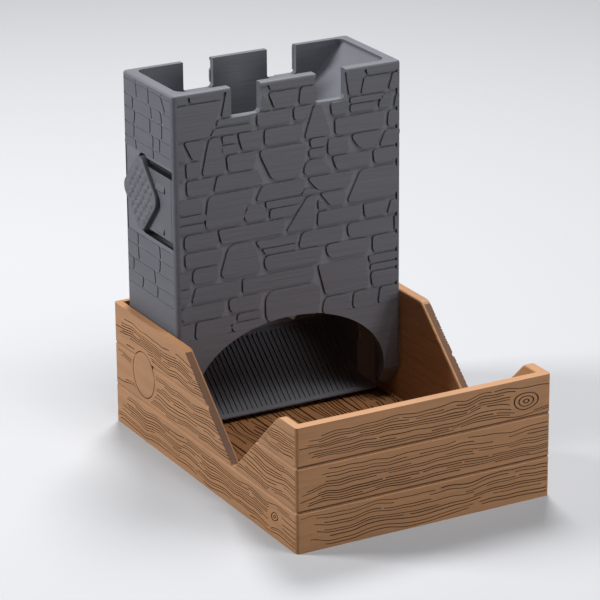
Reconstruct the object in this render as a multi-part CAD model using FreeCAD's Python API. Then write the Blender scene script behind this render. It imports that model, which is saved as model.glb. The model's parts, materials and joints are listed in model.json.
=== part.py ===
import FreeCAD, Part
import math
import os

# Folding dice tower: an open tray with notched side walls, and a hollow castle
# tower that stands in it on two side pins and tips forward into the tray.
# Millimetres. While building, y = 0 is the tray's front face; the parts are
# moved back at the end so that the origin is under the middle of the tray.

# Tray
TRAY_WIDTH = 100.0
TRAY_LENGTH = 137.5
TRAY_REAR_HEIGHT = 46.5
TRAY_FRONT_HEIGHT = 45.5
TRAY_SIDE_WALL = 3.4
TRAY_FRONT_WALL = 3.5
TRAY_REAR_WALL = 1.9
TRAY_FLOOR = 3.5
TRAY_CORNER_RADIUS = 1.2
TRAY_RIM_RADIUS = 0.8
NOTCH_REAR_ANGLE = 41.4
NOTCH_FRONT_ANGLE = 43.0
NOTCH_FORWARD_OF_KNOB = 1.85
NOTCH_BELOW_KNOB = 16.1
NOTCH_TOP_RADIUS = 4.0
NOTCH_VERTEX_RADIUS = 1.5
PLANK_JOINTS_Z = (14.8, 31.0)
PLANK_JOINT_WIDTH = 0.8
PLANK_JOINT_DEPTH = 0.5
FLOOR_JOINTS_X = (-27.6, -9.2, 9.2, 27.6)
STOP_RIB_HEIGHT = 6.5

# Hinge: the pins' height, and how far they stand from the tray's rear face
HINGE_Z = 25.7
HINGE_TO_TRAY_REAR = 23.4
HINGE_TO_TOWER_FRONT = 19.45
PIN_RADIUS = 4.0
PIN_RUNNING_CLEARANCE = 0.05
PIN_HEAD_RADIUS = 8.4
PIN_HEAD_THICKNESS = 1.6
PIN_HEAD_GAP = 0.4
PIN_END_RECESS = 0.4

# Tower: its height leaves FOLDED_CLEARANCE to the tray's front wall when it lies down
SIDE_CLEARANCE = 0.8
FOLDED_CLEARANCE = 2.0
TOWER_DEPTH = 39.5
TOWER_SIDE_WALL = 4.0
TOWER_FRONT_WALL = 3.5
TOWER_REAR_WALL = 3.0
TOWER_CORNER_RADIUS = 1.5
TOWER_TOP_RADIUS = 1.0
SHAFT_FRONT_RADIUS = 4.0
SHAFT_REAR_RADIUS = 3.0
FOOT_RADIUS = 21.1
TOWER_STOP_GAP = 0.3
CRENEL_INNER_X = 11.0
CRENEL_OUTER_X = 23.0
CRENEL_DEPTH = 11.0
CRENEL_RADIUS = 1.6
ARCH_HALF_WIDTH = 38.8
ARCH_SPRING_Z = 20.0
ARCH_TOP_Z = 45.3

# Spring latches in the tower's side walls, placed from the tower's front face
LATCH_Z = 92.0
TONGUE_HEIGHT = 23.2
TONGUE_THICKNESS = 2.6
TONGUE_PIVOT_BACK = 3.05
TONGUE_END_BACK = 27.35
TONGUE_SLOT = 2.8
TONGUE_SOCKET_CLEARANCE = 0.05
TONGUE_SLOT_LEAD = 0.3
KNOB_BACK = 24.45
KNOB_Z = 92.65
KNOB_HALF_WIDTH = 10.5
KNOB_EDGE_ANGLE = 48.0
KNOB_CORNER_RADIUS = 4.0
KNOB_PROUD = 1.6
KNOB_THICKNESS = 2.9
KNOB_GAP = 0.8
KNOB_EDGE_RADIUS = 0.5
KNOB_PEG_RADIUS = 3.5
KNOB_PEG_FORWARD = 2.0
NIB_PROUD = 0.5
NIB_LENGTH = 6.4
NIB_HEIGHT = 3.0
NIB_UPPER = (10.65, 98.2)
NIB_LOWER = (11.55, 82.6)

# Baffles, as (x, z) points, and exit ramp, placed from the tower's front face
BAFFLE_THICKNESS = 2.4
BAFFLE_SEAT = 0.8
BAFFLE_EDGE_RADIUS = 0.5
UPPER_BAFFLE_BELOW_TOP = 1.0
UPPER_BAFFLE_END_X = 2.0
UPPER_BAFFLE_ANGLE = 46.0
MIDDLE_BAFFLE_TOP_Z = 76.5
MIDDLE_BAFFLE_END_X = 4.0
MIDDLE_BAFFLE_ANGLE = 35.0
RAMP_LIP_BACK = 10.65
RAMP_LIP_Z = 6.1
RAMP_LIP_THICKNESS = 0.5
RAMP_ANGLE = 40.0
RAMP_GROOVE_PITCH = 2.0
RAMP_GROOVE_WIDTH = 0.9
RAMP_GROOVE_DEPTH = 0.5
RAMP_GROOVE_MARGIN = 1.2

# Thick cheeks inside the tower's foot, which give the hinge pins their length
CHEEK_X = 37.0
CHEEK_TOP_Z = 40.0
CHEEK_FRONT_BACK = 11.5

# Worked out from the sizes above
TRAY_X = TRAY_WIDTH / 2.0
WELL_X = TRAY_X - TRAY_SIDE_WALL
WELL_REAR_Y = TRAY_LENGTH - TRAY_REAR_WALL
HINGE_Y = TRAY_LENGTH - HINGE_TO_TRAY_REAR
TOWER_X = WELL_X - SIDE_CLEARANCE
TOWER_FRONT_Y = HINGE_Y - HINGE_TO_TOWER_FRONT
TOWER_TOP = HINGE_Z + HINGE_Y - TRAY_FRONT_WALL - FOLDED_CLEARANCE
SHAFT_X = TOWER_X - TOWER_SIDE_WALL
TOWER_REAR_Y = TOWER_FRONT_Y + TOWER_DEPTH
SHAFT_FRONT_Y = TOWER_FRONT_Y + TOWER_FRONT_WALL
SHAFT_REAR_Y = TOWER_REAR_Y - TOWER_REAR_WALL
TONGUE_PIVOT_Y = TOWER_FRONT_Y + TONGUE_PIVOT_BACK
TONGUE_END_Y = TOWER_FRONT_Y + TONGUE_END_BACK
KNOB_Y = TOWER_FRONT_Y + KNOB_BACK
PEG_Y = KNOB_Y - KNOB_PEG_FORWARD
RAMP_LIP_Y = TOWER_FRONT_Y + RAMP_LIP_BACK

# Folded, a point of the tower at (y, z) lies at (HINGE_Y + HINGE_Z - z, HINGE_Z - HINGE_Y + y),
# so each notch's vertex follows from the knob's centre
NOTCH_VERTEX_Y = HINGE_Y + HINGE_Z - KNOB_Z - NOTCH_FORWARD_OF_KNOB
NOTCH_VERTEX_Z = HINGE_Z - HINGE_Y + KNOB_Y - NOTCH_BELOW_KNOB


def vector_yz(x):
    return lambda u, v: FreeCAD.Vector(x, u, v)


def vector_xz(y):
    return lambda u, v: FreeCAD.Vector(u, y, v)


def vector_xy(z):
    return lambda u, v: FreeCAD.Vector(u, v, z)


def rounded_face(corners, place):
    """A flat face from (u, v, radius) corners, each corner rounded to its radius."""
    count = len(corners)
    entry, middle, leave = [], [], []
    for i, (u, v, radius) in enumerate(corners):
        here = FreeCAD.Vector(u, v, 0)
        before = FreeCAD.Vector(corners[i - 1][0], corners[i - 1][1], 0)
        after = FreeCAD.Vector(corners[(i + 1) % count][0], corners[(i + 1) % count][1], 0)
        back = (before - here).normalize()
        ahead = (after - here).normalize()
        half = back.getAngle(ahead) / 2.0
        if radius > 0:
            reach = radius / math.tan(half)
            bisector = (back + ahead).normalize()
            entry.append(here + back * reach)
            leave.append(here + ahead * reach)
            middle.append(here + bisector * (radius / math.sin(half) - radius))
        else:
            entry.append(here)
            leave.append(here)
            middle.append(None)
    edges = []
    for i in range(count):
        if middle[i] is not None:
            a, m, b = [place(p.x, p.y) for p in (entry[i], middle[i], leave[i])]
            edges.append(Part.Arc(a, m, b).toShape())
        a = leave[i]
        b = entry[(i + 1) % count]
        if (b - a).Length > 1e-6:
            edges.append(Part.makeLine(place(a.x, a.y), place(b.x, b.y)))
    return Part.Face(Part.Wire(edges))


def prism(corners, place, direction):
    return rounded_face(corners, place).extrude(FreeCAD.Vector(*direction))


def block(x0, x1, y0, y1, z0, z1):
    return Part.makeBox(x1 - x0, y1 - y0, z1 - z0, FreeCAD.Vector(x0, y0, z0))


def rod(radius, x0, x1, y, z):
    return Part.makeCylinder(radius, x1 - x0, FreeCAD.Vector(x0, y, z), FreeCAD.Vector(1, 0, 0))


def edges_where(shape, test):
    """The edges whose both ends and middle pass the test."""
    found = []
    for edge in shape.Edges:
        middle = edge.valueAt((edge.FirstParameter + edge.LastParameter) / 2.0)
        points = [vertex.Point for vertex in edge.Vertexes] + [middle]
        if all(test(p) for p in points):
            found.append(edge)
    return found


def near(a, b):
    return abs(a - b) < 1e-4


def mirrored(shape):
    return shape.mirror(FreeCAD.Vector(0, 0, 0), FreeCAD.Vector(1, 0, 0))


def knob_outline(grow, radius):
    """The knob's rhombus in the side wall's plane, grown outwards by grow."""
    angle = math.radians(KNOB_EDGE_ANGLE)
    reach_y = (KNOB_HALF_WIDTH + grow) / math.sin(angle)
    reach_z = (KNOB_HALF_WIDTH + grow) / math.cos(angle)
    return [(KNOB_Y + reach_y, KNOB_Z, radius), (KNOB_Y, KNOB_Z + reach_z, radius),
            (KNOB_Y - reach_y, KNOB_Z, radius), (KNOB_Y, KNOB_Z - reach_z, radius)]


# Tray: one profile with the two notches, hollowed from above
def make_tray():
    rear_rise = TRAY_REAR_HEIGHT - NOTCH_VERTEX_Z
    front_rise = TRAY_FRONT_HEIGHT - NOTCH_VERTEX_Z
    notch_rear_y = NOTCH_VERTEX_Y + rear_rise / math.tan(math.radians(NOTCH_REAR_ANGLE))
    notch_front_y = NOTCH_VERTEX_Y - front_rise / math.tan(math.radians(NOTCH_FRONT_ANGLE))
    profile = [(0, 0, 0), (TRAY_LENGTH, 0, 0), (TRAY_LENGTH, TRAY_REAR_HEIGHT, 0),
               (notch_rear_y, TRAY_REAR_HEIGHT, NOTCH_TOP_RADIUS),
               (NOTCH_VERTEX_Y, NOTCH_VERTEX_Z, NOTCH_VERTEX_RADIUS),
               (notch_front_y, TRAY_FRONT_HEIGHT, NOTCH_TOP_RADIUS),
               (0, TRAY_FRONT_HEIGHT, 0)]
    tray = prism(profile, vector_yz(-TRAY_X), (TRAY_WIDTH, 0, 0))

    def upright_corner(p):
        return near(abs(p.x), TRAY_X) and (near(p.y, 0) or near(p.y, TRAY_LENGTH))

    tray = tray.makeFillet(TRAY_CORNER_RADIUS, edges_where(tray, upright_corner))
    tray = tray.cut(block(-WELL_X, WELL_X, TRAY_FRONT_WALL, WELL_REAR_Y, TRAY_FLOOR,
                          TRAY_REAR_HEIGHT + 1))

    def inner_rim(p):
        return near(abs(p.x), WELL_X) and p.z > NOTCH_VERTEX_Z - 1

    tray = tray.makeFillet(TRAY_RIM_RADIUS, edges_where(tray, inner_rim))

    rib_front = TOWER_REAR_Y + TOWER_STOP_GAP
    rib_foot = TRAY_REAR_HEIGHT - STOP_RIB_HEIGHT
    rib = [(WELL_REAR_Y + 0.5, rib_foot - 1.5, 0), (WELL_REAR_Y + 0.5, TRAY_REAR_HEIGHT, 0),
           (rib_front, TRAY_REAR_HEIGHT, 0), (rib_front, rib_foot, 0)]
    tray = tray.fuse(prism(rib, vector_yz(-WELL_X + 8.0), (2 * WELL_X - 16.0, 0, 0)))

    # Plank joints: a shallow channel round the outside at two heights, and along the floor
    for z in PLANK_JOINTS_Z:
        low, high = z - PLANK_JOINT_WIDTH / 2, z + PLANK_JOINT_WIDTH / 2
        around = block(-TRAY_X - 1, TRAY_X + 1, -1, TRAY_LENGTH + 1, low, high)
        core = block(-TRAY_X + PLANK_JOINT_DEPTH, TRAY_X - PLANK_JOINT_DEPTH,
                     PLANK_JOINT_DEPTH, TRAY_LENGTH - PLANK_JOINT_DEPTH, low, high)
        tray = tray.cut(around.cut(core))
    for x in FLOOR_JOINTS_X:
        tray = tray.cut(block(x - PLANK_JOINT_WIDTH / 2, x + PLANK_JOINT_WIDTH / 2,
                              TRAY_FRONT_WALL, WELL_REAR_Y,
                              TRAY_FLOOR - PLANK_JOINT_DEPTH, TRAY_FLOOR + 1))

    # Seats for the hinge pins, their heads let in flush with the outside
    for side in (-1, 1):
        seat = rod(PIN_HEAD_RADIUS + PIN_HEAD_GAP, TRAY_X - PIN_HEAD_THICKNESS, TRAY_X + 1,
                   HINGE_Y, HINGE_Z)
        seat = seat.fuse(rod(PIN_RADIUS, WELL_X - 1, TRAY_X + 1, HINGE_Y, HINGE_Z))
        tray = tray.cut(seat if side > 0 else mirrored(seat))
    return tray


def make_hinge_pin():
    head = rod(PIN_HEAD_RADIUS, TRAY_X - PIN_HEAD_THICKNESS, TRAY_X, HINGE_Y, HINGE_Z)
    shank = rod(PIN_RADIUS, CHEEK_X + PIN_END_RECESS, TRAY_X - 1, HINGE_Y, HINGE_Z)
    return head.fuse(shank).removeSplitter()


# Tower shell: a shaft open at both ends, its foot rounded about the hinge
def make_tower():
    front_drop = math.sqrt(FOOT_RADIUS ** 2 - (HINGE_Y - TOWER_FRONT_Y) ** 2)
    rear_drop = math.sqrt(FOOT_RADIUS ** 2 - (TOWER_REAR_Y - HINGE_Y) ** 2)
    place = vector_yz(-TOWER_X)
    front_low = place(TOWER_FRONT_Y, HINGE_Z - front_drop)
    rear_low = place(TOWER_REAR_Y, HINGE_Z - rear_drop)
    front_high = place(TOWER_FRONT_Y, TOWER_TOP)
    rear_high = place(TOWER_REAR_Y, TOWER_TOP)
    foot = Part.Arc(front_low, place(HINGE_Y, HINGE_Z - FOOT_RADIUS), rear_low).toShape()
    outline = Part.Wire([Part.makeLine(front_high, front_low), foot,
                         Part.makeLine(rear_low, rear_high),
                         Part.makeLine(rear_high, front_high)])
    tower = Part.Face(outline).extrude(FreeCAD.Vector(2 * TOWER_X, 0, 0))

    def upright_corner(p):
        on_face = near(p.y, TOWER_FRONT_Y) or near(p.y, TOWER_REAR_Y)
        return near(abs(p.x), TOWER_X) and on_face and p.z > HINGE_Z - FOOT_RADIUS + 2

    tower = tower.makeFillet(TOWER_CORNER_RADIUS, edges_where(tower, upright_corner))

    shaft = [(-SHAFT_X, SHAFT_FRONT_Y, SHAFT_FRONT_RADIUS),
             (SHAFT_X, SHAFT_FRONT_Y, SHAFT_FRONT_RADIUS),
             (SHAFT_X, SHAFT_REAR_Y, SHAFT_REAR_RADIUS),
             (-SHAFT_X, SHAFT_REAR_Y, SHAFT_REAR_RADIUS)]
    tower = tower.cut(prism(shaft, vector_xy(-5.0), (0, 0, TOWER_TOP + 10.0)))

    # Battlements in the front and rear walls
    floor_z = TOWER_TOP - CRENEL_DEPTH
    for side in (-1, 1):
        a, b = sorted((side * CRENEL_INNER_X, side * CRENEL_OUTER_X))
        gap = [(a, floor_z, CRENEL_RADIUS), (b, floor_z, CRENEL_RADIUS),
               (b, TOWER_TOP + 5, 0), (a, TOWER_TOP + 5, 0)]
        tower = tower.cut(prism(gap, vector_xz(TOWER_FRONT_Y - 5), (0, TOWER_DEPTH + 10, 0)))

    def outer_top(p):
        return near(p.z, TOWER_TOP) and (near(p.y, TOWER_FRONT_Y) or near(p.y, TOWER_REAR_Y))

    tower = tower.makeFillet(TOWER_TOP_RADIUS, edges_where(tower, outer_top))

    # Exit arch in the front wall
    ellipse = Part.Ellipse(FreeCAD.Vector(0, 0, 0), ARCH_HALF_WIDTH, ARCH_TOP_Z - ARCH_SPRING_Z)
    arch = Part.Face(Part.Wire(ellipse.toShape())).extrude(FreeCAD.Vector(0, 0, SHAFT_FRONT_Y + 1.0
                                                                         - TOWER_FRONT_Y + 1.0))
    arch.rotate(FreeCAD.Vector(0, 0, 0), FreeCAD.Vector(1, 0, 0), 90)
    arch.translate(FreeCAD.Vector(0, SHAFT_FRONT_Y + 1.0, ARCH_SPRING_Z))
    below = block(-ARCH_HALF_WIDTH, ARCH_HALF_WIDTH, TOWER_FRONT_Y - 1, SHAFT_FRONT_Y + 1,
                  -5, ARCH_SPRING_Z)
    tower = tower.cut(arch).cut(below)

    # Cheeks, hinge bores and latch windows, alike on both sides
    cheek = make_cheek()
    tower = tower.fuse(cheek).fuse(mirrored(cheek)).removeSplitter()
    bore = rod(PIN_RADIUS + PIN_RUNNING_CLEARANCE, CHEEK_X - 1, TOWER_X + 1, HINGE_Y, HINGE_Z)
    opening = bore.fuse(make_latch_window())
    return tower.cut(opening).cut(mirrored(opening))


def make_cheek():
    """The thick part of the right wall about the pin, its top and front edges sloped."""
    lean = SHAFT_X - CHEEK_X
    front = TOWER_FRONT_Y + CHEEK_FRONT_BACK
    seen_from_front = [(CHEEK_X, 0, 0), (SHAFT_X + 1, 0, 0),
                       (SHAFT_X + 1, CHEEK_TOP_Z + lean + 1, 0), (CHEEK_X, CHEEK_TOP_Z, 0)]
    seen_from_above = [(CHEEK_X, front + lean, 0), (SHAFT_X + 1, front - 1, 0),
                       (SHAFT_X + 1, SHAFT_REAR_Y + 1, 0), (CHEEK_X, SHAFT_REAR_Y + 1, 0)]
    cheek = prism(seen_from_front, vector_xz(0), (0, TRAY_LENGTH, 0))
    cheek = cheek.common(prism(seen_from_above, vector_xy(0), (0, 0, TOWER_TOP)))
    foot = rod(FOOT_RADIUS, 0, TOWER_X, HINGE_Y, HINGE_Z)
    above = block(0, TOWER_X, TOWER_FRONT_Y, SHAFT_REAR_Y + 1, HINGE_Z, TOWER_TOP)
    return cheek.common(foot.fuse(above))


def make_latch_window():
    half = TONGUE_HEIGHT / 2 + TONGUE_SLOT
    low, high = LATCH_Z - half, LATCH_Z + half
    socket_x = TOWER_X - TONGUE_THICKNESS / 2
    socket_radius = TONGUE_THICKNESS / 2 + TONGUE_SOCKET_CLEARANCE
    slot_front = TONGUE_PIVOT_Y - TONGUE_THICKNESS / 2 - TONGUE_SLOT_LEAD
    through = (TOWER_SIDE_WALL + 1.0, 0, 0)
    place = vector_yz(SHAFT_X)
    window = prism([(TONGUE_PIVOT_Y, low, 0), (KNOB_Y, low, 0), (KNOB_Y, high, 0),
                    (TONGUE_PIVOT_Y, high, 0)], place, through)
    window = window.fuse(prism(knob_outline(KNOB_GAP, KNOB_CORNER_RADIUS), place, through))
    for z in (low, high - TONGUE_SLOT):
        window = window.fuse(block(SHAFT_X, TOWER_X + 1.0, slot_front, TONGUE_PIVOT_Y + 1.0,
                                   z, z + TONGUE_SLOT))
    socket = Part.makeCylinder(socket_radius, TONGUE_HEIGHT,
                               FreeCAD.Vector(socket_x, TONGUE_PIVOT_Y, LATCH_Z - TONGUE_HEIGHT / 2))
    return window.fuse(socket)


# Latch tongue: a flat spring plate with a half-round root, two small nibs near
# the root, and a shallow seat for the knob at its free end
def make_tongue():
    low, high = LATCH_Z - TONGUE_HEIGHT / 2, LATCH_Z + TONGUE_HEIGHT / 2
    inner_x = TOWER_X - TONGUE_THICKNESS
    plate = block(inner_x, TOWER_X, TONGUE_PIVOT_Y, TONGUE_END_Y, low, high)
    root = Part.makeCylinder(TONGUE_THICKNESS / 2, TONGUE_HEIGHT,
                             FreeCAD.Vector(TOWER_X - TONGUE_THICKNESS / 2, TONGUE_PIVOT_Y, low))
    tongue = plate.fuse(root)
    for back, z in (NIB_UPPER, NIB_LOWER):
        y = TOWER_FRONT_Y + back
        wedge = [(TOWER_X - 0.5, z + NIB_HEIGHT / 2, 0), (TOWER_X, z + NIB_HEIGHT / 2, 0),
                 (TOWER_X + NIB_PROUD, z - NIB_HEIGHT / 4, 0), (TOWER_X, z - NIB_HEIGHT / 2, 0),
                 (TOWER_X - 0.5, z - NIB_HEIGHT / 2, 0)]
        tongue = tongue.fuse(prism(wedge, vector_xz(y - NIB_LENGTH / 2), (0, NIB_LENGTH, 0)))
    seat_x = TOWER_X + KNOB_PROUD - KNOB_THICKNESS
    seat = prism(knob_outline(0, KNOB_CORNER_RADIUS), vector_yz(seat_x), (KNOB_THICKNESS, 0, 0))
    peg_hole = rod(KNOB_PEG_RADIUS, inner_x - 1, TOWER_X, PEG_Y, KNOB_Z)
    corner = knob_outline(KNOB_GAP, KNOB_CORNER_RADIUS)
    beyond = block(inner_x, TOWER_X, KNOB_Y, TONGUE_END_Y, low, high)
    beyond = beyond.cut(prism(corner, vector_yz(inner_x), (TONGUE_THICKNESS, 0, 0)))
    return tongue.cut(seat).cut(peg_hole).cut(beyond).removeSplitter()


def make_knob():
    seat_x = TOWER_X + KNOB_PROUD - KNOB_THICKNESS
    knob = prism(knob_outline(0, KNOB_CORNER_RADIUS), vector_yz(seat_x), (KNOB_THICKNESS, 0, 0))

    def rim(p):
        return near(p.x, TOWER_X + KNOB_PROUD)

    knob = knob.makeFillet(KNOB_EDGE_RADIUS, edges_where(knob, rim))
    peg = rod(KNOB_PEG_RADIUS, TOWER_X - TONGUE_THICKNESS, seat_x + 1, PEG_Y, KNOB_Z)
    return knob.fuse(peg).removeSplitter()


def make_baffle(side, top_z, end_x, angle):
    """A plate across the shaft, down from the wall on that side (-1 is left) at top_z to
    end_x, let into three walls by BAFFLE_SEAT."""
    along = math.radians(angle)
    wall_x = side * (SHAFT_X + BAFFLE_SEAT)
    wall_z = top_z + BAFFLE_SEAT * math.tan(along)
    end_z = wall_z - abs(wall_x - end_x) * math.tan(along)
    corners = [(wall_x, wall_z, 0), (end_x, end_z, BAFFLE_EDGE_RADIUS),
               (end_x + side * BAFFLE_THICKNESS * math.sin(along),
                end_z - BAFFLE_THICKNESS * math.cos(along), BAFFLE_EDGE_RADIUS),
               (wall_x, wall_z - BAFFLE_THICKNESS / math.cos(along), 0)]
    depth = SHAFT_REAR_Y - SHAFT_FRONT_Y + 2 * BAFFLE_SEAT
    return prism(corners, vector_xz(SHAFT_FRONT_Y - BAFFLE_SEAT), (0, depth, 0))


# Exit ramp: one slope on a solid wedge. Its underside follows the foot's circle to the
# lowest point and then runs straight to the lip
def make_ramp():
    x0 = -SHAFT_X - BAFFLE_SEAT
    place = vector_yz(x0)
    slope = math.tan(math.radians(RAMP_ANGLE))
    rear_z = RAMP_LIP_Z + (SHAFT_REAR_Y - RAMP_LIP_Y) * slope
    rear_drop = math.sqrt(FOOT_RADIUS ** 2 - (SHAFT_REAR_Y - HINGE_Y) ** 2)
    middle = FOOT_RADIUS * math.sqrt(0.5)
    lip_low = place(RAMP_LIP_Y, RAMP_LIP_Z - RAMP_LIP_THICKNESS)
    lip = place(RAMP_LIP_Y, RAMP_LIP_Z)
    rear_high = place(SHAFT_REAR_Y, rear_z)
    rear_low = place(SHAFT_REAR_Y, HINGE_Z - rear_drop)
    lowest = place(HINGE_Y, HINGE_Z - FOOT_RADIUS)
    under = Part.Arc(rear_low, place(HINGE_Y + middle, HINGE_Z - middle), lowest).toShape()
    outline = Part.Wire([Part.makeLine(lip_low, lip), Part.makeLine(lip, rear_high),
                         Part.makeLine(rear_high, rear_low), under,
                         Part.makeLine(lowest, lip_low)])
    ramp = Part.Face(outline).extrude(FreeCAD.Vector(-2 * x0, 0, 0))

    # Grooves that run up the slope, clear of the lip, the cheeks and the rear wall
    count = int((CHEEK_X - RAMP_GROOVE_MARGIN) / RAMP_GROOVE_PITCH)
    front, rear = RAMP_LIP_Y + RAMP_GROOVE_MARGIN, SHAFT_REAR_Y - RAMP_GROOVE_MARGIN
    front_z = RAMP_LIP_Z + RAMP_GROOVE_MARGIN * slope
    rear_z = rear_z - RAMP_GROOVE_MARGIN * slope
    deep = RAMP_GROOVE_DEPTH / math.cos(math.radians(RAMP_ANGLE))
    cutters = []
    for i in range(-count, count + 1):
        cutter = [(front, front_z - deep, 0), (rear, rear_z - deep, 0),
                  (rear, rear_z + 1, 0), (front, front_z + 1, 0)]
        x = i * RAMP_GROOVE_PITCH - RAMP_GROOVE_WIDTH / 2
        cutters.append(prism(cutter, vector_yz(x), (RAMP_GROOVE_WIDTH, 0, 0)))
    return ramp.cut(Part.makeCompound(cutters))


def main():
    tray = make_tray()
    pin = make_hinge_pin()
    tower = make_tower()
    upper_baffle = make_baffle(1, TOWER_TOP - UPPER_BAFFLE_BELOW_TOP, UPPER_BAFFLE_END_X,
                               UPPER_BAFFLE_ANGLE)
    middle_baffle = make_baffle(-1, MIDDLE_BAFFLE_TOP_Z, MIDDLE_BAFFLE_END_X,
                                MIDDLE_BAFFLE_ANGLE)
    ramp = make_ramp()
    tower = tower.cut(upper_baffle).cut(middle_baffle).cut(ramp)
    tongue = make_tongue()
    knob = make_knob()

    parts = {
        "tray_shell": tray,
        "hinge_pin_left": mirrored(pin),
        "hinge_pin_right": pin,
        "tower_shell": tower,
        "upper_baffle": upper_baffle,
        "middle_baffle": middle_baffle,
        "exit_ramp": ramp,
        "latch_tongue_left": mirrored(tongue),
        "latch_tongue_right": tongue,
        "latch_knob_left": mirrored(knob),
        "latch_knob_right": knob,
    }
    os.makedirs("parts", exist_ok=True)
    for name, shape in parts.items():
        shape = shape.copy()
        shape.translate(FreeCAD.Vector(0, -TRAY_LENGTH / 2.0, 0))
        box = shape.BoundBox
        print(name, shape.isValid(), len(shape.Solids), round(shape.Volume, 1),
              [round(v, 2) for v in (box.XMin, box.XMax, box.YMin, box.YMax, box.ZMin, box.ZMax)])
        shape.exportStep("parts/" + name + ".step")


main()
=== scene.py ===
import json
import math
import random

import bpy
from mathutils import Matrix, Vector

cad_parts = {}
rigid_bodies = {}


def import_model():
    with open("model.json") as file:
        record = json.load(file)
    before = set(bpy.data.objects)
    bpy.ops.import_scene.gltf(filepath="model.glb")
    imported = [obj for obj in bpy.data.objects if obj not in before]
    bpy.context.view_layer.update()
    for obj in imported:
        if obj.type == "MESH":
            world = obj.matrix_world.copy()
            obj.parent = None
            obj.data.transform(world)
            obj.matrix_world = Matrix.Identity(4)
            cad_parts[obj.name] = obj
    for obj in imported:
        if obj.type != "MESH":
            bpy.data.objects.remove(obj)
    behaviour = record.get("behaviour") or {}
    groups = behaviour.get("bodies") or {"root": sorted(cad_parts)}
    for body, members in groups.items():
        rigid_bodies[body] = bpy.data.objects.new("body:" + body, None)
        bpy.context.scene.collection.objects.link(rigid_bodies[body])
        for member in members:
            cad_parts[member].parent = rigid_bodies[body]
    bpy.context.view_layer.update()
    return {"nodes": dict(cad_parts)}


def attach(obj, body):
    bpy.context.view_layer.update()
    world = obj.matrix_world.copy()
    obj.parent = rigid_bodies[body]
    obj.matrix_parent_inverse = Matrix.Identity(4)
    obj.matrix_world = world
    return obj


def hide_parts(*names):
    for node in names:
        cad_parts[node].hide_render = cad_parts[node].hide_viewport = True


# A folding dice tower: a planked open tray, and a castle tower of stone courses that
# stands in it on two side pins and tips forward into it. Everything is printed PLA.

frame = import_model()


# Floor, lamps and camera
# A pale matt studio floor, soft lamps behind the left side and high behind the right, a
# low and two steep ones in front, and a long lens that looks down at the left corner.

MM = 0.001
FLOOR_WIDTH = 8.0
FLOOR_COLOUR = "#a9aaad"
FLOOR_BOUNCE_COLOUR = "#58585c"
WORLD_COLOUR = "#e6e8ec"
WORLD_STRENGTH = 0.03
CAMERA_AZIMUTH = -28.736
CAMERA_ELEVATION = 20.19
CAMERA_ROLL = -0.462
CAMERA_DISTANCE = 1103.4 * MM
CAMERA_TARGET = Vector((-20.65, -18.75, 69.46)) * MM
CAMERA_LENS = 192.8
LAMP_DISTANCE = 1.0
LAMP_SIZE = 0.3
LAMP_AIM = Vector((0, 0, 0.05))


def deselect():
    bpy.ops.object.select_all(action="DESELECT")


def linear(code):
    """A hex sRGB colour as linear RGBA."""
    parts = [int(code[i : i + 2], 16) / 255 for i in (1, 3, 5)]
    return tuple(
        c / 12.92 if c <= 0.04045 else ((c + 0.055) / 1.055) ** 2.4 for c in parts
    ) + (1.0,)


def add_node(material, kind, settings=None, inputs=None):
    """Adds a shader node. An input is a value, or another node's output to link."""
    node = material.node_tree.nodes.new(kind)
    for name, value in (settings or {}).items():
        setattr(node, name, value)
    for name, value in (inputs or {}).items():
        if isinstance(value, bpy.types.NodeSocket):
            material.node_tree.links.new(value, node.inputs[name])
        else:
            node.inputs[name].default_value = value
    return node


def new_material(name, colour, roughness, specular=0.5):
    """A dielectric material and its main shader."""
    material = bpy.data.materials.new(name)
    material.use_nodes = True
    shader = material.node_tree.nodes["Principled BSDF"]
    shader.inputs["Base Color"].default_value = linear(colour)
    shader.inputs["Roughness"].default_value = roughness
    shader.inputs["Specular IOR Level"].default_value = specular
    return material, shader


def direction(azimuth, elevation):
    """The unit vector from the object towards a viewer or lamp, angles in degrees."""
    a, e = math.radians(azimuth), math.radians(elevation)
    return Vector((math.sin(a) * math.cos(e), -math.cos(a) * math.cos(e), math.sin(e)))


deselect()
bpy.ops.mesh.primitive_plane_add(size=FLOOR_WIDTH)
floor = bpy.context.object
floor.name = "studio_floor"

# Matt seamless paper: an even pale grey that takes a soft shadow and has no gloss. The
# light it throws back at the tower is of a darker paper, so that the tower's front and
# the tray's underside stay in shade
floor_paper, shader = new_material("matt_paper_backdrop", FLOOR_COLOUR, 0.9, 0.2)
rays = add_node(floor_paper, "ShaderNodeLightPath").outputs
mirrored = add_node(
    floor_paper,
    "ShaderNodeMath",
    {"operation": "MAXIMUM"},
    {0: rays["Is Glossy Ray"], 1: rays["Is Transmission Ray"]},
)
seen = add_node(
    floor_paper,
    "ShaderNodeMath",
    {"operation": "MAXIMUM"},
    {0: rays["Is Camera Ray"], 1: mirrored.outputs[0]},
)
mix = add_node(
    floor_paper,
    "ShaderNodeMix",
    {"data_type": "RGBA"},
    {0: seen.outputs[0], 6: linear(FLOOR_BOUNCE_COLOUR), 7: linear(FLOOR_COLOUR)},
)
floor_paper.node_tree.links.new(mix.outputs[2], shader.inputs["Base Color"])
floor.data.materials.append(floor_paper)

world = bpy.data.worlds.new("studio_air")
world.use_nodes = True
world.node_tree.nodes["Background"].inputs["Color"].default_value = linear(WORLD_COLOUR)
world.node_tree.nodes["Background"].inputs["Strength"].default_value = WORLD_STRENGTH
bpy.context.scene.world = world


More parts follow.
